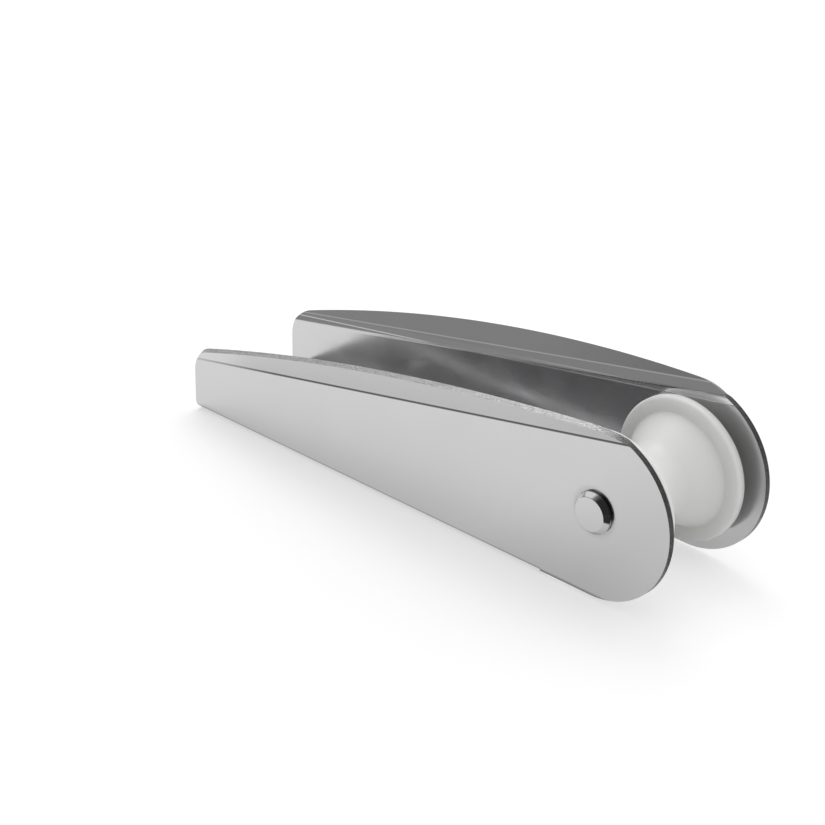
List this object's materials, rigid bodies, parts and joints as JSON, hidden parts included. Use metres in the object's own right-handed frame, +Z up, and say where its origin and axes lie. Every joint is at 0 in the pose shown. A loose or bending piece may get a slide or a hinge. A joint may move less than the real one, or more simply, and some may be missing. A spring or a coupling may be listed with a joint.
{
  "type": "bow roller",
  "caption": "Folded steel bow roller channel with arched outward lips and rounded noses, carrying a grooved nylon roller on a headed axle pin.",
  "frame": {"origin": "underside of the channel's floor, in the middle of its four bolt holes", "axes": "+X forward along the channel, over the roller; +Y to port, along the axle from the pin's head to its split pin; +Z up, out of the deck"},
  "size_m": [0.31, 0.0883, 0.0861],
  "materials": {
    "sheet_steel": "polished stainless sheet, fine brushing on the lips",
    "nylon": "satin white nylon with fine turning lines",
    "bush": "satin bearing plastic",
    "thrust_washer": "satin plastic",
    "turned_steel": "polished turned stainless",
    "washer_steel": "bright rolled stainless",
    "wire_steel": "drawn stainless wire"
  },
  "bodies": {
    "frame": {"channel": "sheet_steel", "axle_pin": "turned_steel", "pin_washer": "washer_steel", "split_pin": "wire_steel", "thrust_washer_port": "thrust_washer", "thrust_washer_starboard": "thrust_washer"},
    "roller": {"roller": "nylon", "bush_port": "bush", "bush_starboard": "bush"}
  },
  "joints": [
    {"name": "roller_spin", "type": "hinge", "parent": "frame", "child": "roller", "pos_m": [0.149, 0, 0.044], "axis": [0, 1, 0], "continuous": true}
  ]
}
